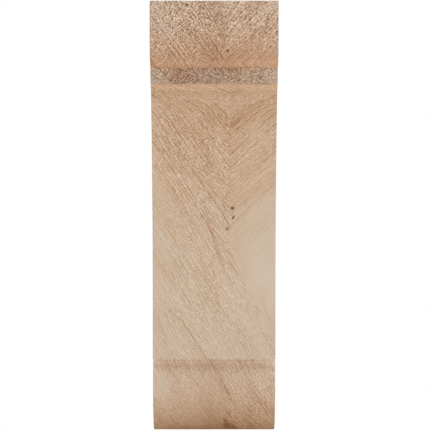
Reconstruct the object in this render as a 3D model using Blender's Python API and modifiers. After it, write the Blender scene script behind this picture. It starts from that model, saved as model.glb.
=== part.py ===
"""Solid timber wall bracket: one block of wood sawn to a moulded front profile.

World frame, metres: +Z is up and -Y is the front. The origin is the centre of the flat back
face. The side profile is drawn as one closed outline and extruded across the width.
"""

import math

import bpy

# Overall block
WIDTH = 0.0884
HEIGHT = 0.3048
DEPTH = 0.1778

# Moulded top, from the top down
FASCIA_HEIGHT = 0.0197
OVOLO_RADIUS = 0.0254
FILLET_HEIGHT = 0.0110

# Hollow below it: a small arc under the fillet, then a long sweep down to the plumb neck.
# The small arc takes at most this share of the hollow's run or drop.
COVE_TOP_RADIUS = 0.0254
COVE_TOP_SHARE = 0.7
NECK_HEIGHT = 0.0340

# Roll at the foot, and the flat seat behind it. The neck overhangs the roll's front.
ROLL_RADIUS = 0.0370
ROLL_ABOVE_APEX = 0.0167
SEAT_DEPTH = 0.0323
NECK_OVERHANG = 0.0080

# Edges and fineness of the curves
ARRIS_EASE = 0.0007
ARRIS_SEGMENTS = 2
ARRIS_MIN_ANGLE = math.radians(40)
ARC_STEP = math.radians(6)
SWEEP_STEP = math.radians(2.5)
WELD_DISTANCE = 0.00001

FRONT_Y = -DEPTH
TOP_Z = HEIGHT / 2
FOOT_Z = -HEIGHT / 2
NECK_Y = -(SEAT_DEPTH + ROLL_RADIUS + NECK_OVERHANG)
QUIRK_Z = FOOT_Z + ROLL_RADIUS + ROLL_ABOVE_APEX
COVE_FOOT_Z = QUIRK_Z + NECK_HEIGHT


def clear_scene():
    for old in list(bpy.data.objects):
        bpy.data.objects.remove(old, do_unlink=True)


def arc(centre, radius, start, end, step=ARC_STEP):
    """Points (y, z) on an arc, angles counted from +Y towards +Z, both ends included."""
    count = max(2, math.ceil(abs(end - start) / step))
    angles = [start + (end - start) * i / count for i in range(count + 1)]
    return [(centre[0] + radius * math.cos(a), centre[1] + radius * math.sin(a)) for a in angles]


def top_block():
    """Flat fascia and the quarter-round below it, down to the top of the fillet."""
    round_centre = (FRONT_Y + OVOLO_RADIUS, TOP_Z - FASCIA_HEIGHT)
    return [(FRONT_Y, TOP_Z)] + arc(round_centre, OVOLO_RADIUS, math.pi, 1.5 * math.pi)


def cove():
    """Hollow in two tangent arcs: it leaves the fillet level and ends plumb on the neck."""
    start_y = FRONT_Y + OVOLO_RADIUS
    start_z = TOP_Z - FASCIA_HEIGHT - OVOLO_RADIUS - FILLET_HEIGHT
    run = NECK_Y - start_y
    drop = start_z - COVE_FOOT_Z
    top_radius = min(COVE_TOP_RADIUS, COVE_TOP_SHARE * run, COVE_TOP_SHARE * drop)
    turn = 2 * math.atan2(run - top_radius, drop - top_radius)
    sweep_radius = top_radius + (drop - top_radius) / math.sin(turn)
    top_centre = (start_y, start_z - top_radius)
    sweep_centre = (NECK_Y - sweep_radius, COVE_FOOT_Z)
    top_arc = arc(top_centre, top_radius, math.pi / 2, turn)
    sweep = arc(sweep_centre, sweep_radius, turn, 0.0, SWEEP_STEP)
    return top_arc + sweep[1:]


def foot_roll():
    """Convex roll below the neck, from its quirk round to the flat underside."""
    centre = (-SEAT_DEPTH, FOOT_Z + ROLL_RADIUS)
    start = math.pi - math.asin(ROLL_ABOVE_APEX / ROLL_RADIUS)
    return arc(centre, ROLL_RADIUS, start, 1.5 * math.pi)


def side_profile():
    """Closed outline (y, z), from the top front corner down the front and up the back."""
    outline = top_block() + cove()
    outline.append((NECK_Y, QUIRK_Z))
    outline += foot_roll()
    outline += [(0.0, FOOT_Z), (0.0, TOP_Z)]
    return outline


def wood_material():
    material = bpy.data.materials.new("bare_pale_timber")
    material.use_nodes = True
    shader = material.node_tree.nodes["Principled BSDF"]
    shader.inputs["Base Color"].default_value = (0.60, 0.43, 0.30, 1.0)
    shader.inputs["Roughness"].default_value = 0.75
    shader.inputs["Metallic"].default_value = 0.0
    return material


def extruded_outline(name, outline, width):
    """Mesh object from an outline in the YZ plane, extruded evenly to both sides along X."""
    curve = bpy.data.curves.new(name + "_outline", "CURVE")
    curve.dimensions = "2D"
    curve.fill_mode = "BOTH"
    curve.extrude = width / 2
    spline = curve.splines.new("POLY")
    spline.points.add(len(outline) - 1)
    for point, (y, z) in zip(spline.points, outline):
        point.co = (y, z, 0.0, 1.0)
    spline.use_cyclic_u = True
    drawn = bpy.data.objects.new(name + "_outline", curve)
    drawn.rotation_euler = (math.pi / 2, 0.0, math.pi / 2)
    bpy.context.scene.collection.objects.link(drawn)
    bpy.context.view_layer.update()
    graph = bpy.context.evaluated_depsgraph_get()
    mesh = bpy.data.meshes.new_from_object(drawn.evaluated_get(graph))
    mesh.name = name
    solid = bpy.data.objects.new(name, mesh)
    solid.matrix_world = drawn.matrix_world
    bpy.data.objects.remove(drawn, do_unlink=True)
    return solid


def add_modifiers(solid):
    weld = solid.modifiers.new("Join the caps", "WELD")
    weld.merge_threshold = WELD_DISTANCE
    ease = solid.modifiers.new("Eased arrises", "BEVEL")
    ease.width = ARRIS_EASE
    ease.segments = ARRIS_SEGMENTS
    ease.limit_method = "ANGLE"
    ease.angle_limit = ARRIS_MIN_ANGLE


def build_bracket():
    parts = bpy.data.collections.new("Wood bracket")
    bpy.context.scene.collection.children.link(parts)
    bracket = extruded_outline("wood_bracket", side_profile(), WIDTH)
    parts.objects.link(bracket)
    bracket.data.materials.clear()
    bracket.data.materials.append(wood_material())
    add_modifiers(bracket)
    bracket.data.shade_smooth()
    bracket.data.set_sharp_from_angle(angle=ARRIS_MIN_ANGLE)


clear_scene()
build_bracket()
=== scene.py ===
"""Looks of the timber wall bracket: the moulded block, its bare wood, soft studio light and camera.

Lengths are metres unless a name ends in _MM. The front faces -Y and the wall is at Y = 0.
"""

import math
from collections import namedtuple

import bmesh
import bpy
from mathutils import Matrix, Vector


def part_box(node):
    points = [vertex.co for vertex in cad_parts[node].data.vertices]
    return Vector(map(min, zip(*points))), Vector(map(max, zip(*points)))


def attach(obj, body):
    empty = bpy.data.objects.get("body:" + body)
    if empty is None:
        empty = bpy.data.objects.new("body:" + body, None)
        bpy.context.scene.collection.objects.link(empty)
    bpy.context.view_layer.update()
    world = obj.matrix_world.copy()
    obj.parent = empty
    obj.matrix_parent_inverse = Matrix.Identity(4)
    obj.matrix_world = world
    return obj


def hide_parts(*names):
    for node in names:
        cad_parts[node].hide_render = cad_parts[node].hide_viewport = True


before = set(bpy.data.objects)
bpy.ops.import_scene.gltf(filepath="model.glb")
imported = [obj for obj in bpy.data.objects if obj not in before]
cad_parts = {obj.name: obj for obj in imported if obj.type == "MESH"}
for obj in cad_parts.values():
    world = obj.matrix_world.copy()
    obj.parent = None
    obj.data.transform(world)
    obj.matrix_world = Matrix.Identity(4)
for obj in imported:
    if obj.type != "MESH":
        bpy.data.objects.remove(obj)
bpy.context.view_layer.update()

# Block, from the frame
block_low, block_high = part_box("wood_bracket")
WIDTH = block_high[0] - block_low[0]
FRONT_Y = block_low[1]
BACK_Y = block_high[1]
FOOT_Z = block_low[2]
TOP_Z = block_high[2]

# Moulded front
FASCIA_HEIGHT = 0.0197
OVOLO_RADIUS = 0.0254
FILLET_HEIGHT = 0.0110
COVE_TOP_RADIUS = 0.0254
NECK_HEIGHT = 0.0340
ROLL_RADIUS = 0.0370
ROLL_ABOVE_APEX = 0.0167
SEAT_DEPTH = 0.0323
NECK_OVERHANG = 0.0080

FILLET_Y = FRONT_Y + OVOLO_RADIUS
FILLET_TOP_Z = TOP_Z - FASCIA_HEIGHT - OVOLO_RADIUS
FILLET_FOOT_Z = FILLET_TOP_Z - FILLET_HEIGHT
NECK_Y = BACK_Y - SEAT_DEPTH - ROLL_RADIUS - NECK_OVERHANG
QUIRK_Z = FOOT_Z + ROLL_RADIUS + ROLL_ABOVE_APEX
COVE_FOOT_Z = QUIRK_Z + NECK_HEIGHT

# Mesh fineness and edges
COLUMNS = 112
ROW = 0.00078
ARRIS_EASE = 0.0005
ARRIS_SEGMENTS = 2
SHARP_ANGLE = math.radians(38)
MERGE = 0.00002
NEAR = 0.00001

# The five finishes, in the order of the block's material slots
FASCIA, FILLET, SANDED, PLANED, SIDE = range(5)

# How far a face's normal has to point sideways, or straight back or up, to count as such a face
SIDEWAYS = 0.7
STRAIGHT = 0.9


def deselect_objects():
    bpy.ops.object.select_all(action="DESELECT")


def select_edges(test):
    """In edit mode, select only the edges whose two ends both pass the test."""
    bpy.ops.mesh.select_mode(type="EDGE")
    bpy.ops.mesh.select_all(action="DESELECT")
    block = bpy.context.edit_object.data
    for edge in bmesh.from_edit_mesh(block).edges:
        if all(test(corner.co) for corner in edge.verts):
            edge.select_set(True)
    bmesh.update_edit_mesh(block)


def push(dy, dz):
    """Extrude the selected edge of the block by one straight step."""
    bpy.ops.mesh.extrude_region_move(TRANSFORM_OT_translate={"value": (0.0, dy, dz)})


def draw_straight(dy, dz):
    """Carry the selected edge of the block along a straight run in short steps."""
    steps = max(1, round(math.hypot(dy, dz) / ROW))
    for _ in range(steps):
        push(dy / steps, dz / steps)


def draw_round(centre_y, centre_z, radius, turn):
    """Carry the selected edge round an arc; a positive turn goes from +Y towards +Z."""
    steps = max(2, round(abs(turn) * radius / ROW))
    centre = (0.0, centre_y, centre_z)
    bpy.ops.mesh.spin(steps=steps, angle=-turn, center=centre, axis=(1.0, 0.0, 0.0))


def cut_profile():
    """Run the front edge of the top down the whole moulded front, under the foot and up the back."""
    select_edges(lambda co: co.y < FRONT_Y + NEAR)
    draw_straight(0.0, -FASCIA_HEIGHT)
    draw_round(FILLET_Y, TOP_Z - FASCIA_HEIGHT, OVOLO_RADIUS, math.pi / 2)
    draw_straight(0.0, -FILLET_HEIGHT)
    run = NECK_Y - FILLET_Y - COVE_TOP_RADIUS
    drop = FILLET_FOOT_Z - COVE_FOOT_Z - COVE_TOP_RADIUS
    turn = 2 * math.atan2(run, drop)
    sweep_radius = COVE_TOP_RADIUS + drop / math.sin(turn)
    draw_round(FILLET_Y, FILLET_FOOT_Z - COVE_TOP_RADIUS, COVE_TOP_RADIUS, turn - math.pi / 2)
    draw_round(NECK_Y - sweep_radius, COVE_FOOT_Z, sweep_radius, -turn)
    draw_straight(0.0, -NECK_HEIGHT)
    rise = math.asin(ROLL_ABOVE_APEX / ROLL_RADIUS)
    draw_straight(BACK_Y - SEAT_DEPTH - ROLL_RADIUS * math.cos(rise) - NECK_Y, 0.0)
    draw_round(BACK_Y - SEAT_DEPTH, FOOT_Z + ROLL_RADIUS, ROLL_RADIUS, math.pi / 2 + rise)
    draw_straight(SEAT_DEPTH, 0.0)
    push(0.0, TOP_Z - FOOT_Z)
    bpy.ops.mesh.select_all(action="SELECT")
    bpy.ops.mesh.remove_doubles(threshold=MERGE)


def close_side(side):
    """Fill one flat side with a single face."""
    select_edges(lambda co: side * co.x > WIDTH / 2 - NEAR)
    bpy.ops.mesh.edge_face_add()


def ease_arrises():
    """Take the sharpness off every hard edge."""
    bpy.ops.mesh.select_mode(type="EDGE")
    bpy.ops.mesh.select_all(action="DESELECT")
    bpy.ops.mesh.edges_select_sharp(sharpness=SHARP_ANGLE)
    bpy.ops.mesh.bevel(offset=ARRIS_EASE, segments=ARRIS_SEGMENTS, affect="EDGES")


def make_block():
    """Start from the flat top, carry its front edge round the profile, and close both sides."""
    deselect_objects()
    bpy.ops.mesh.primitive_grid_add(x_subdivisions=COLUMNS, y_subdivisions=1, size=1.0)
    block = bpy.context.object
    block.name = "bracket_block"
    block.scale = (WIDTH, BACK_Y - FRONT_Y, 1.0)
    block.location = (0.0, (BACK_Y + FRONT_Y) / 2, TOP_Z)
    bpy.ops.object.transform_apply(location=True, rotation=True, scale=True)
    bpy.ops.object.mode_set(mode="EDIT")
    cut_profile()
    close_side(1)
    close_side(-1)
    bpy.ops.mesh.select_all(action="SELECT")
    bpy.ops.mesh.normals_make_consistent(inside=False)
    ease_arrises()
    bpy.ops.object.mode_set(mode="OBJECT")
    return block


# Sockets of the Mix node, for numbers and for colours: share, first, second and result
MIX_NUMBERS = (0, 2, 3, 0)
MIX_COLOURS = (0, 6, 7, 2)


class Tree:
    """Short words for the shader nodes that the finishes share."""

    def __init__(self, name):
        self.material = bpy.data.materials.new(name)
        self.material.use_nodes = True
        self.nodes = self.material.node_tree.nodes
        self.links = self.material.node_tree.links
        self.shader = self.nodes["Principled BSDF"]

    def put(self, socket, value):
        """Link another node's output to a socket, or write a plain value in it."""
        if hasattr(value, "is_linked"):
            self.links.new(value, socket)
        else:
            socket.default_value = value

    def math(self, operation, a, b=0.0, c=0.0):
        node = self.nodes.new("ShaderNodeMath")
        node.operation = operation
        for socket, value in zip(node.inputs, (a, b, c)):
            self.put(socket, value)
        return node.outputs[0]

    def add(self, a, b):
        return self.math("ADD", a, b)

    def less(self, a, b):
        return self.math("SUBTRACT", a, b)

    def times(self, a, b):
        return self.math("MULTIPLY", a, b)

    def plus_times(self, a, b, c):
        """a times b, plus c."""
        return self.math("MULTIPLY_ADD", a, b, c)

    def higher(self, a, b):
        return self.math("MAXIMUM", a, b)

    def lower(self, a, b):
        return self.math("MINIMUM", a, b)

    def vector(self, x, y, z):
        node = self.nodes.new("ShaderNodeCombineXYZ")
        for socket, value in zip(node.inputs, (x, y, z)):
            self.put(socket, value)
        return node.outputs[0]

    def place(self):
        """The object's own coordinates."""
        return self.nodes.new("ShaderNodeTexCoord").outputs["Object"]

    def parts(self, vector):
        """The x, y and z of a vector."""
        node = self.nodes.new("ShaderNodeSeparateXYZ")
        self.links.new(vector, node.inputs[0])
        return node.outputs[0], node.outputs[1], node.outputs[2]

    def noise(self, vector, scale=1.0, detail=2.0):
        node = self.nodes.new("ShaderNodeTexNoise")
        self.put(node.inputs["Vector"], vector)
        node.inputs["Scale"].default_value = scale
        node.inputs["Detail"].default_value = detail
        return node.outputs["Fac"]

    def random(self, whole):
        """A random number from 0 to 1 that is the same for equal whole numbers."""
        node = self.nodes.new("ShaderNodeTexWhiteNoise")
        node.noise_dimensions = "1D"
        self.links.new(whole, node.inputs["W"])
        return node.outputs["Value"]

    def span(self, value, start, end, at_start=0.0, at_end=1.0):
        """A soft step from one number to another while the value goes from start to end."""
        node = self.nodes.new("ShaderNodeMapRange")
        node.interpolation_type = "SMOOTHSTEP"
        self.put(node.inputs["Value"], value)
        names = ("From Min", "From Max", "To Min", "To Max")
        for name, number in zip(names, (start, end, at_start, at_end)):
            self.put(node.inputs[name], number)
        return node.outputs["Result"]

    def mix(self, kind, sockets, share, a, b):
        node = self.nodes.new("ShaderNodeMix")
        node.data_type = kind
        for number, value in zip(sockets, (share, a, b)):
            self.put(node.inputs[number], value)
        return node, node.outputs[sockets[-1]]

    def blend(self, share, a, b):
        """Number a where share is 0 and b where it is 1."""
        return self.mix("FLOAT", MIX_NUMBERS, share, a, b)[1]

    def tint(self, share, colour, target, way="MIX"):
        """The colour where share is 0 or less, and the target, mixed in that way, where it is 1 or more."""
        held = self.lower(self.higher(share, 0.0), 1.0)
        node, result = self.mix("RGBA", MIX_COLOURS, held, colour, (*target, 1.0))
        node.blend_type = way
        return result


MM = 1000.0

# The log the block was sawn from. Fibres run from the front back and a little upwards, so the whole
# front shows end grain. Its rings lean, and lie flatter under the fillet.
FIBRE_RISE = math.radians(15)
RING_SLOPE = 0.61
FLATTER_MM = (106.0, 146.0)
FLATTER_RISE_MM = 26.0
RING_MM = 3.9
LINE_PITCH_MM = 2.5
RAY_PITCH_MM = 2.0

# Right of an upright seam the rings turn back like a mirror image, down to a slanting crotch. The
# seam lies further left on the fascia than below it.
SEAM_MM = 11.5
FASCIA_SEAM_MM = 7.5
SEAM_MOVES_MM = (142.0, 150.0)
SEAM_SOFT_MM = 0.25
MIRROR_STRETCH = 0.63
RIGHT_ALONG = 0.78
CROTCH_MM = (27.0, 47.0)
CROTCH_LEAN = 2.18
TURNING_PEAK = 3.8

# A second seam low on the front, where the rings are set off sideways
LOW_SEAM_MM = 6.8
LOW_SEAM_SOFT_MM = 0.3
LOW_OFFSET_MM = 2.3
LOW_OFFSET_STARTS_MM = (-85.0, -105.0)

# Noises of the wood: how fast they change for each millimetre across the rings, along them and
# into the block. Drift and wobble take sideways and upwards in place of the first two.
DRIFT = (0.030, 0.030, 0.006)
WOBBLE = (0.14, 0.14, 0.02)
UNEVEN_RINGS = (0.09, 0.006, 0.006)
BROKEN_RINGS = (0.3, 0.05, 0.03)
LINES_WANDER = (0.17, 0.07, 0.02)
RAYS_WANDER = (0.12, 0.17, 0.02)
LINES_OR_RAYS = (0.34, 0.17, 0.03)
PORES = (1.25, 1.15, 0.06)
HAIRS = (1.15, 0.20, 0.04)
SAWN_FIBRES = (1.5, 1.0, 1.0)
TONE = (0.085, 0.024, 0.012)

# How far those noises move the rings, in millimetres and in rings
DRIFT_MM = 3.4
WOBBLE_MM = 0.8
UNEVEN_BY_RINGS = 1.8


def centred(tree, value, gain):
    """A noise value turned to swing about zero."""
    return tree.times(tree.less(value, 0.5), gain)


def wood_noise(tree, place, paces, detail=1.0, offset=0.0):
    """Noise at a place across, along and into the wood, with its own pace in each direction."""
    across, along, deep = (tree.times(value, pace) for value, pace in zip(place, paces))
    return tree.noise(tree.vector(across, along, tree.add(deep, offset)), detail=detail)


def board_coordinates(tree):
    """Across (p), up (q) and along (w) the fibres, in millimetres, from the object's own place."""
    turn = tree.nodes.new("ShaderNodeMapping")
    turn.inputs["Rotation"].default_value = (-FIBRE_RISE, 0.0, 0.0)
    turn.inputs["Scale"].default_value = (MM, MM, MM)
    tree.links.new(tree.place(), turn.inputs["Vector"])
    p, w, q = tree.parts(turn.outputs["Vector"])
    return p, q, w


def ring_field(tree, p, q, w, mirrored):
    """Distance across the growth rings and along them, the mirrored half, and where the rings turn."""
    drift = centred(tree, wood_noise(tree, (p, q, w), DRIFT), DRIFT_MM)
    wobble = centred(tree, wood_noise(tree, (p, q, w), WOBBLE), WOBBLE_MM)

    seam = tree.span(q, *SEAM_MOVES_MM, SEAM_MM, FASCIA_SEAM_MM)
    past = tree.less(p, seam)
    above_crotch = tree.span(tree.plus_times(p, CROTCH_LEAN, q), *CROTCH_MM)
    above_crotch = tree.times(above_crotch, float(mirrored))
    right = tree.times(tree.span(past, -SEAM_SOFT_MM, SEAM_SOFT_MM), above_crotch)
    sideways = tree.blend(right, p, tree.plus_times(past, -MIRROR_STRETCH, seam))

    flatter = tree.span(q, *FLATTER_MM, 0.0, FLATTER_RISE_MM)
    across = tree.add(tree.plus_times(q, RING_SLOPE, sideways), flatter)
    past_low = tree.span(p, LOW_SEAM_MM - LOW_SEAM_SOFT_MM, LOW_SEAM_MM + LOW_SEAM_SOFT_MM)
    set_off = tree.times(past_low, tree.span(q, *LOW_OFFSET_STARTS_MM, 0.0, LOW_OFFSET_MM))
    across = tree.add(tree.add(across, set_off), tree.add(drift, wobble))

    left_along = tree.plus_times(p, -RING_SLOPE, q)
    right_along = tree.times(tree.add(q, past), RIGHT_ALONG)
    along = tree.blend(right, left_along, right_along)

    at_crotch = tree.times(above_crotch, tree.less(1.0, above_crotch))
    turning = tree.times(at_crotch, tree.span(past, -1.0, 1.0, 0.0, TURNING_PEAK))
    return across, along, right, turning


def growth_rings(tree, across, along, w):
    """Broad darker band of each ring and the thin line that closes it, stronger in some rings."""
    place = (across, along, w)
    uneven = wood_noise(tree, place, UNEVEN_RINGS)
    ring = tree.plus_times(uneven, UNEVEN_BY_RINGS, tree.times(across, 1 / RING_MM))
    part = tree.math("FRACT", ring)
    band = tree.times(tree.span(part, 0.10, 0.94), tree.span(part, 0.955, 1.0, 1.0, 0.0))
    line = tree.times(tree.span(part, 0.76, 0.90), tree.span(part, 0.92, 1.0, 1.0, 0.0))
    each = tree.span(tree.random(tree.math("FLOOR", ring)), 0.20, 1.0, 0.20, 1.0)
    broken = wood_noise(tree, place, BROKEN_RINGS, detail=2.0)
    strength = tree.times(each, tree.span(broken, 0.28, 0.56))
    return tree.times(band, strength), tree.times(line, strength)


def ripple(tree, position, pitch, wander, gain):
    """Stripes of a given pitch in millimetres whose phase wanders."""
    turns = tree.plus_times(wander, gain, tree.times(position, math.tau / pitch))
    return tree.math("SINE", turns)


LINES_WANDER_BY = 15.0
RAYS_WANDER_BY = 20.0
STRIPE_STRENGTH = 0.62
PORE_STRENGTH = 4.6
HAIR_STRENGTH = 3.2
WEAVE_STRENGTH = 0.30
OTHER_NOISE = 31.0


def weave(tree, across, along, w):
    """Fine lines along the rings, crossed by rays, with open pores between them."""
    place = (across, along, w)
    lines_wander = wood_noise(tree, place, LINES_WANDER, detail=2.0)
    rays_wander = wood_noise(tree, place, RAYS_WANDER, detail=2.0, offset=OTHER_NOISE)
    lines = ripple(tree, across, LINE_PITCH_MM, lines_wander, LINES_WANDER_BY)
    rays = ripple(tree, along, RAY_PITCH_MM, rays_wander, RAYS_WANDER_BY)
    share = wood_noise(tree, place, LINES_OR_RAYS, detail=2.0)
    lines = tree.times(lines, tree.span(share, 0.30, 0.62, 0.0, STRIPE_STRENGTH))
    rays = tree.times(rays, tree.span(share, 0.36, 0.68, STRIPE_STRENGTH, 0.0))
    pores = centred(tree, wood_noise(tree, place, PORES), PORE_STRENGTH)
    hairs = centred(tree, wood_noise(tree, place, HAIRS), HAIR_STRENGTH)
    return tree.times(tree.add(tree.add(lines, rays), tree.add(pores, hairs)), WEAVE_STRENGTH)


# Places on the front, in millimetres from its middle: x, z, half width, half height, how much the
# place climbs for each millimetre to the right, and its strength
KNOTS = (
    (13.2, 10.4, 1.9, 1.5, 0.0, 0.85),
    (13.7, 3.7, 1.4, 1.5, 0.8, 0.90),
    (9.6, -4.4, 1.7, 1.7, 0.0, 0.28),
    (7.8, 3.4, 1.2, 1.6, 0.0, 0.25),
    (39.5, -4.7, 1.2, 1.2, 0.0, 0.12),
)
FASCIA_KNOTS = (
    (-18.6, 149.3, 1.35, 1.35, 0.0, 0.95),
    (9.4, 118.3, 1.35, 1.35, 0.0, 0.90),
)
CORNER_STAINS = (
    (14.5, 71.0, 9.5, 3.8, 0.80, 0.58),
    (16.5, 75.0, 13.0, 8.0, 0.60, 0.24),
)
STAINS = (
    (1.3, -15.0, 8.0, 9.0, -2.9, 0.42),
    (-9.5, -26.0, 5.0, 8.0, -2.5, 0.24),
    (-30.0, -8.0, 6.0, 8.0, -1.8, 0.24),
    (6.7, 6.0, 1.6, 13.0, 0.0, 0.22),
    (9.6, -4.4, 2.0, 2.0, 0.0, 0.60),
    (-39.0, 39.8, 5.0, 6.0, 0.0, 0.16),
    (3.0, 56.0, 26.0, 30.0, 0.0, 0.12),
    (2.0, -128.0, 25.0, 34.0, 0.0, 0.19),
    (10.8, -122.6, 4.0, 5.0, 0.0, 0.34),
)
FASCIA_STAINS = (
    (-21.0, 121.0, 12.0, 5.0, -1.33, 0.16),
    (-6.0, 134.0, 22.0, 28.0, 0.0, 0.22),
)
PALE_PLACES = (
    (41.0, -18.0, 26.0, 54.0, 0.0, 0.36),
    (-46.0, -126.0, 18.0, 46.0, 0.0, 0.22),
    (-47.0, 10.0, 20.0, 90.0, 0.0, 0.22),
)
QUIET_PLACES = (
    (46.0, -22.0, 38.0, 76.0, 0.0, 0.38),
    (-50.0, -20.0, 30.0, 130.0, 0.0, 0.35),
)

# What a finish shows beside its grain. Knots go towards dark brown and a stain towards red-brown, or
# towards a bleached grey where it is below zero. Gain is the strength of the fine grain and rings
# that of the growth rings. Shadow darkens. The last field is painted light: it brightens the colour
# under the overhangs and on faces that turn down, where shade would fall.
Marks = namedtuple("Marks", "knots stain gain rings shadow lift")


def one_place(tree, x, z, place):
    """The place's strength in its middle, falling to zero at its half sizes."""
    at_x, at_z, half_width, half_height, climb, strength = place
    dx = tree.less(x, at_x)
    dz = tree.plus_times(dx, -climb, tree.less(z, at_z))
    dx = tree.times(dx, 1 / half_width)
    dz = tree.times(dz, 1 / half_height)
    away = tree.plus_times(dx, dx, tree.times(dz, dz))
    return tree.times(tree.span(away, 0.10, 1.0, 1.0, 0.0), strength)


def gathered(tree, x, z, places):
    """The strongest of a list of places at each point."""
    total = 0.0
    for place in places:
        total = tree.higher(total, one_place(tree, x, z, place))
    return total


QUIRK_MM = QUIRK_Z * MM
FILLET_FOOT_MM = FILLET_FOOT_Z * MM

# Width, left of the upright seam, over which the corner stains start
CORNER_SOFT_MM = 0.3

# Darker, coarser patch low on the right, which starts at the low seam, and the wedge in its corner
PATCH_LEAN = -0.35
PATCH_MM = (-114.0, -146.0)
PATCH_FADES_MM = (3.0, 36.0)
WEDGE_LEAN = 0.85
WEDGE_MM = (-141.0, -143.0)


def front_marks(tree, x, z, q, right):
    """Pin knots, stains and pale places of the sanded front, from the cove down to the roll, and painted
    light under its overhangs.
    """
    knots = gathered(tree, x, z, KNOTS)
    corner = gathered(tree, x, z, CORNER_STAINS)
    corner = tree.times(corner, tree.span(x, SEAM_MM - CORNER_SOFT_MM, SEAM_MM))
    stain = tree.higher(corner, gathered(tree, x, z, STAINS))

    past = tree.less(x, LOW_SEAM_MM)
    beside = tree.span(past, -LOW_SEAM_SOFT_MM, LOW_SEAM_SOFT_MM)
    patch = tree.times(tree.span(tree.plus_times(past, PATCH_LEAN, z), *PATCH_MM), beside)
    patch = tree.times(patch, tree.span(past, *PATCH_FADES_MM, 1.0, 0.35))
    wedge = tree.times(beside, tree.span(tree.plus_times(past, WEDGE_LEAN, z), *WEDGE_MM))
    stain = tree.higher(stain, tree.plus_times(wedge, 0.70, tree.times(patch, 0.25)))
    stain = tree.less(tree.plus_times(knots, 0.6, stain), gathered(tree, x, z, PALE_PLACES))

    above_roll = tree.span(z, QUIRK_MM - 1.0, QUIRK_MM)
    neck = tree.times(tree.span(z, 40.0, -20.0), above_roll)
    stain = tree.add(stain, tree.span(neck, 0.0, 1.0, 0.05, -0.13))
    shadow = tree.times(tree.span(z, -45.0, -80.0, 0.0, 0.05), above_roll)

    calmer_right = tree.times(right, tree.span(q, 118.0, 85.0, 0.20, 0.50))
    gain = tree.less(tree.span(q, -70.0, 120.0, 0.78, 1.42), calmer_right)
    gain = tree.times(gain, tree.less(1.0, gathered(tree, x, z, QUIET_PLACES)))
    rings = tree.times(gain, tree.span(above_roll, 0.0, 1.0, 0.62, 1.0))
    gain = tree.plus_times(patch, 0.9, gain)

    # Painted light: brighter just under the fillet and just under the quirk, where the overhangs shade the
    # front, and paler under the quirk too; a little painted light also grows up the cove, whose faces turn
    # down.
    painted_light_under_fillet = tree.span(z, FILLET_FOOT_MM - 6.5, FILLET_FOOT_MM, 0.0, 0.40)
    painted_light_under_quirk = tree.span(z, QUIRK_MM - 6.4, QUIRK_MM, 0.0, 0.36)
    painted_light_under_quirk = tree.add(painted_light_under_quirk, tree.span(z, QUIRK_MM - 1.8, QUIRK_MM, 0.0, 0.12))
    painted_light_under_quirk = tree.times(painted_light_under_quirk, tree.span(z, QUIRK_MM + 0.15, QUIRK_MM + 0.5, 1.0, 0.0))
    stain = tree.plus_times(painted_light_under_quirk, -0.30, stain)
    lift = tree.higher(painted_light_under_fillet, painted_light_under_quirk)
    lift = tree.higher(lift, tree.span(z, 0.0, 50.0, 0.01, 0.06))
    return Marks(knots, stain, gain, rings, shadow, lift)


def fascia_marks(tree, x, z, q, right):
    """Two pin knots and two warm places, a warmer foot brightened with painted light, and a calmer right
    half.
    """
    knots = gathered(tree, x, z, FASCIA_KNOTS)
    stain = tree.span(z, 140.0, 114.0, -0.12, 0.12)
    for place in FASCIA_STAINS:
        stain = tree.add(stain, one_place(tree, x, z, place))
    gain = tree.plus_times(right, -0.34, tree.span(z, 138.0, 108.0, 1.05, 0.62))
    # Painted light, growing down the fascia and strongest on the quarter round's underside, which faces
    # down.
    foot = tree.span(z, 115.0, 107.3, 0.0, 0.36)
    lift = tree.add(foot, tree.span(z, 134.0, 112.0, 0.05, 0.17))
    return Marks(knots, stain, gain, 1.0, 0.0, lift)


STROKE_LEAN = -0.9
STROKE_PITCH_MM = 2.6


def fillet_marks(tree, x, z, q, right):
    """Grey ends, a red-brown patch left of the middle, two darker places, leaning saw strokes and painted
    light towards its top.
    """
    patch = tree.times(tree.span(x, -32.0, -27.0), tree.span(x, -16.0, -9.0, 1.0, 0.0))
    middle = tree.times(tree.span(x, -16.0, -9.0), tree.span(x, 0.0, 9.0, 1.0, 0.0))
    near_end = tree.times(tree.span(x, 22.0, 26.0), tree.span(x, 30.0, 34.0, 1.0, 0.0))
    ends = tree.add(tree.span(x, -27.0, -34.0), tree.span(x, 32.0, 36.0))
    shadow = tree.plus_times(near_end, 0.05, tree.times(middle, 0.22))
    shadow = tree.plus_times(patch, 0.08, shadow)
    shadow = tree.plus_times(ends, -0.09, shadow)
    wander = tree.noise(tree.vector(x, 0.0, z), scale=0.2)
    strokes = ripple(tree, tree.plus_times(x, STROKE_LEAN, z), STROKE_PITCH_MM, wander, 12.0)
    shadow = tree.plus_times(strokes, tree.plus_times(patch, 0.18, 0.08), shadow)
    stain = tree.plus_times(ends, -0.20, tree.times(middle, -0.05))
    stain = tree.plus_times(patch, 0.28, stain)
    # Painted light, brighter towards the top of the fillet under the quarter round's overhang.
    lift = tree.span(z, 99.0, 107.0, 0.06, 0.22)
    return Marks(0.0, stain, 1.0, 1.0, shadow, lift)


# Colours of the wood. Dark and bright grain are multiples of its pale colour, and warm wood and
# the painted light multiply what they meet.
DARK_GRAIN = (0.42, 0.34, 0.27)
BRIGHT_GRAIN = (1.60, 1.72, 1.85)
WARM_WOOD = (0.66, 0.45, 0.30)
BLEACHED = (0.59, 0.58, 0.525)
# Colour of the painted light that brightens the front under its overhangs and on faces turning down.
PAINTED_LIGHT_TINT = (1.95, 2.12, 2.50)
KNOT_BROWN = (0.13, 0.07, 0.03)

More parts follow.
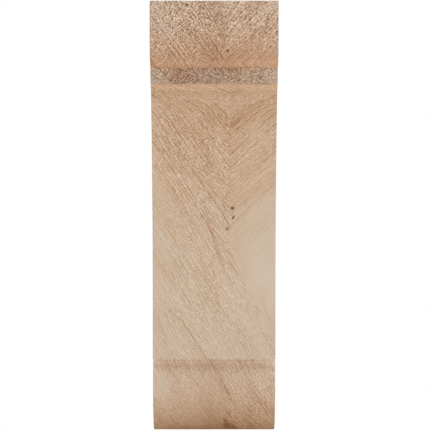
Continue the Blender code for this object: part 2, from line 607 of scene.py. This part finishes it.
# Strengths in the mix of the figure
RIGHT_FINENESS = 1.3
RIGHT_DRAWN_OUT = 0.55
TURNING_CALM = 0.5
SAWN_STRENGTH = 2.8
LINE_WARMTH = 0.28
BAND_WARMTH = 0.26
TONE_SWING = 0.9
TONE_OFFSET = 4.0
STAIN_STRENGTH = 0.9
LINE_DEPTH = 0.24
SAWN_LINE_DEPTH = 0.20

# Gloss and relief of the surface
ROUGH_PALE = 0.88
ROUGH_DARK = 0.70
SPECULAR = 0.2
BUMP_STRENGTH = 0.6
BUMP_DEPTH = 0.0003


def grain_colour(tree, pale, fine, warm):
    """Pale wood with its fine light and dark grain, and warmer or bleached where it is."""
    dark = tuple(part * share for part, share in zip(pale, DARK_GRAIN))
    bright = tuple(min(1.0, part * share) for part, share in zip(pale, BRIGHT_GRAIN))
    colour = tree.tint(fine, (*pale, 1.0), dark)
    colour = tree.tint(tree.times(fine, -1.0), colour, bright)
    colour = tree.tint(warm, colour, WARM_WOOD, "MULTIPLY")
    return tree.tint(tree.times(warm, -1.0), colour, BLEACHED)


def timber(name, pale, grain=1.0, fuzz=0.0, marks=None, mirrored=True):
    """Bare pale wood. grain sets the strength of its fine figure, and fuzz that of a rough saw cut."""
    tree = Tree(name)
    p, q, w = board_coordinates(tree)
    across, along, right, turning = ring_field(tree, p, q, w, mirrored)
    band, line = growth_rings(tree, across, along, w)
    still = tree.less(1.0, turning)
    band = tree.times(band, still)
    line = tree.times(line, still)

    spread = tree.times(across, tree.blend(right, 1.0, RIGHT_FINENESS))
    fine = tree.times(weave(tree, spread, along, w), tree.span(turning, 0.0, 1.0, 1.0, TURNING_CALM))
    if fuzz:
        drawn = tree.times(along, tree.blend(right, 1.0, RIGHT_DRAWN_OUT))
        sawn = wood_noise(tree, (spread, drawn, w), SAWN_FIBRES)
        fine = tree.add(fine, centred(tree, sawn, SAWN_STRENGTH * fuzz))
    fine = tree.times(fine, grain)

    tone = wood_noise(tree, (across, along, w), TONE, detail=2.0, offset=TONE_OFFSET)
    warm = centred(tree, tone, TONE_SWING)
    figure = tree.plus_times(line, LINE_WARMTH, tree.times(band, BAND_WARMTH))
    if marks:
        x, _, z = tree.parts(tree.place())
        shown = marks(tree, tree.times(x, MM), tree.times(z, MM), q, right)
        fine = tree.plus_times(fine, shown.gain, shown.shadow)
        rings = tree.lower(shown.rings, 1.0)
        line = tree.times(line, rings)
        figure = tree.times(figure, rings)
        warm = tree.plus_times(shown.stain, STAIN_STRENGTH, warm)
    fine = tree.plus_times(line, LINE_DEPTH + SAWN_LINE_DEPTH * fuzz, fine)
    warm = tree.add(warm, figure)

    colour = grain_colour(tree, pale, fine, warm)
    if marks:
        # Painted light from the marks brightens the colour here.
        colour = tree.tint(shown.lift, colour, PAINTED_LIGHT_TINT, "MULTIPLY")
        colour = tree.tint(shown.knots, colour, KNOT_BROWN)
    tree.links.new(colour, tree.shader.inputs["Base Color"])
    tree.links.new(tree.span(fine, -0.6, 0.6, ROUGH_PALE, ROUGH_DARK), tree.shader.inputs["Roughness"])
    tree.shader.inputs["Specular IOR Level"].default_value = SPECULAR

    bump = tree.nodes.new("ShaderNodeBump")
    bump.inputs["Strength"].default_value = BUMP_STRENGTH
    bump.inputs["Distance"].default_value = BUMP_DEPTH
    height = tree.add(tree.times(fine, -0.5), tree.times(line, -0.4))
    tree.links.new(height, bump.inputs["Height"])
    tree.links.new(bump.outputs["Normal"], tree.shader.inputs["Normal"])
    return tree.material


SAWN_FASCIA_COLOUR = (0.450, 0.344, 0.256)
SAWN_FILLET_COLOUR = (0.395, 0.303, 0.226)
SANDED_COLOUR = (0.53, 0.445, 0.353)
PLANED_COLOUR = (0.52, 0.43, 0.33)


def finish_of(centre, normal):
    """Which finish a face takes, by its place on the block."""
    if abs(normal.x) > SIDEWAYS:
        return SIDE
    if normal.y > STRAIGHT or normal.z > STRAIGHT and centre.z > TOP_Z - ROW:
        return PLANED
    if centre.z > FILLET_TOP_Z:
        return FASCIA
    if centre.z > FILLET_FOOT_Z and centre.y < FILLET_Y + ROW:
        return FILLET
    if centre.z < FOOT_Z + ROW and centre.y > BACK_Y - SEAT_DEPTH:
        return PLANED
    return SANDED


def lay_finishes(block):
    """Give each face of the block its finish, in the order of FASCIA to SIDE."""
    finishes = (
        timber("rough_sawn_fascia", SAWN_FASCIA_COLOUR, grain=1.7, fuzz=1.35, marks=fascia_marks),
        timber("rough_sawn_fillet", SAWN_FILLET_COLOUR, grain=2.2, fuzz=1.2, marks=fillet_marks),
        timber("sanded_front", SANDED_COLOUR, grain=1.1, marks=front_marks),
        timber("planed_top_and_back", PLANED_COLOUR, grain=0.5),
        timber("planed_sides", PLANED_COLOUR, grain=0.5, mirrored=False),
    )
    for finish in finishes:
        block.data.materials.append(finish)
    for face in block.data.polygons:
        face.material_index = finish_of(face.center, face.normal)


# Relief of the front: its name, the finishes that have it, the size of its bumps and its depth
RELIEFS = (
    ("saw cut", (FASCIA, FILLET), 0.0016, 0.00022),
    ("sanded", (SANDED,), 0.0060, 0.00008),
)


def roughen(block):
    """Sink the saw cut into the fascia and fillet, and a slight unevenness into the sanded front."""
    for name, slots, bump_size, depth in RELIEFS:
        group = block.vertex_groups.new(name=name)
        faces = [face for face in block.data.polygons if face.material_index in slots]
        inside = {corner for face in faces for corner in face.vertices}
        group.add(sorted(inside), 1.0, "REPLACE")
        texture = bpy.data.textures.new(name, "CLOUDS")
        texture.noise_scale = bump_size
        texture.noise_depth = 2
        relief = block.modifiers.new(name, "DISPLACE")
        relief.texture = texture
        relief.texture_coords = "LOCAL"
        relief.vertex_group = name
        relief.direction = "NORMAL"
        relief.mid_level = 1.0
        relief.strength = depth
    bpy.context.view_layer.objects.active = block
    for name, *_ in RELIEFS:
        bpy.ops.object.modifier_apply(modifier=name)
    block.vertex_groups.clear()


def smooth_curves(block):
    """Shade the curves smooth, and let the large flats keep their own shading up to the arrises."""
    deselect_objects()
    block.select_set(True)
    bpy.context.view_layer.objects.active = block
    bpy.ops.object.shade_smooth_by_angle(angle=SHARP_ANGLE)
    hold = block.modifiers.new("held flats", "WEIGHTED_NORMAL")
    hold.keep_sharp = True
    bpy.ops.object.modifier_apply(modifier=hold.name)


WHITE = (1.0, 1.0, 1.0, 1.0)
SKY_LIGHT = 0.8
FLOOR_COLOUR = (0.88, 0.62, 0.42, 1.0)
FLOOR_DROP = 0.012
FLOOR_RADIUS = 6.0
LIGHT_AIM = (0.0, -0.05, 0.0)


def show_white(tree, lit, plain, output):
    """White to the eye, while the light it gives comes from the other shader."""
    ray = tree.nodes.new("ShaderNodeLightPath")
    choice = tree.nodes.new("ShaderNodeMixShader")
    tree.links.new(ray.outputs["Is Camera Ray"], choice.inputs[0])
    tree.links.new(lit, choice.inputs[1])
    tree.links.new(plain, choice.inputs[2])
    tree.links.new(choice.outputs[0], output.inputs["Surface"])


def make_floor():
    """Pale floor a little under the foot, which gives the front a warm light from below."""
    deselect_objects()
    under_foot = (0.0, 0.0, FOOT_Z - FLOOR_DROP)
    bpy.ops.mesh.primitive_circle_add(
        vertices=96, radius=FLOOR_RADIUS, fill_type="NGON", location=under_foot
    )
    floor = bpy.context.object
    floor.name = "pale_floor"
    bpy.ops.object.transform_apply(location=True, rotation=True, scale=True)
    paint = bpy.data.materials.new("pale_floor")
    paint.use_nodes = True
    nodes = paint.node_tree.nodes
    nodes.clear()
    matt = nodes.new("ShaderNodeBsdfDiffuse")
    matt.inputs["Color"].default_value = FLOOR_COLOUR
    seen = nodes.new("ShaderNodeEmission")
    show_white(paint.node_tree, matt.outputs[0], seen.outputs[0], nodes.new("ShaderNodeOutputMaterial"))
    floor.data.materials.append(paint)


def area_light(name, place, size, power):
    lamp = bpy.data.lights.new(name, "AREA")
    lamp.shape = "RECTANGLE"
    lamp.size, lamp.size_y = size
    lamp.energy = power
    holder = bpy.data.objects.new(name, lamp)
    bpy.context.scene.collection.objects.link(holder)
    holder.location = place
    aim = Vector(LIGHT_AIM) - Vector(place)
    holder.rotation_euler = aim.to_track_quat("-Z", "Y").to_euler()


def make_light():
    """Even white surroundings and two large soft lights in front, both a little to the right."""
    world = bpy.data.worlds.new("white_studio")
    bpy.context.scene.world = world
    world.use_nodes = True
    nodes = world.node_tree.nodes
    sky = nodes["Background"]
    sky.inputs["Color"].default_value = WHITE
    sky.inputs["Strength"].default_value = SKY_LIGHT
    seen = nodes.new("ShaderNodeBackground")
    seen.inputs["Color"].default_value = WHITE
    show_white(world.node_tree, sky.outputs[0], seen.outputs[0], nodes["World Output"])
    area_light("soft_above_front", (0.5, -1.8, 1.5), (1.8, 1.2), 7.0)
    area_light("soft_front", (0.5, -2.9, 0.1), (1.6, 0.6), 22.0)
    bpy.context.scene.view_settings.view_transform = "Standard"


# Camera straight before the front. The photo is square, and the top's front edge spans so many of
# its pixels about this column.
CAMERA_DISTANCE = 1.9
CAMERA_HEIGHT = 0.0055
PHOTO_WIDTH = 430
FRONT_WIDTH_PIXELS = 129.1
CENTRE_COLUMN_PIXEL = 214.1
SENSOR_MM = 36.0
VIEW_END = 60.0


def make_camera():
    lens = bpy.data.cameras.new("camera")
    focal_pixels = FRONT_WIDTH_PIXELS * CAMERA_DISTANCE / WIDTH
    lens.sensor_width = SENSOR_MM
    lens.lens = focal_pixels * SENSOR_MM / PHOTO_WIDTH
    lens.shift_x = (PHOTO_WIDTH / 2 - CENTRE_COLUMN_PIXEL) / PHOTO_WIDTH
    lens.clip_end = VIEW_END
    camera = bpy.data.objects.new("camera", lens)
    bpy.context.scene.collection.objects.link(camera)
    camera.location = (0.0, FRONT_Y - CAMERA_DISTANCE, CAMERA_HEIGHT)
    camera.rotation_euler = (math.pi / 2, 0.0, 0.0)
    bpy.context.scene.camera = camera


make_camera()
make_light()
make_floor()
block = make_block()
lay_finishes(block)
roughen(block)
smooth_curves(block)
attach(block, "root")
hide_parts("wood_bracket")
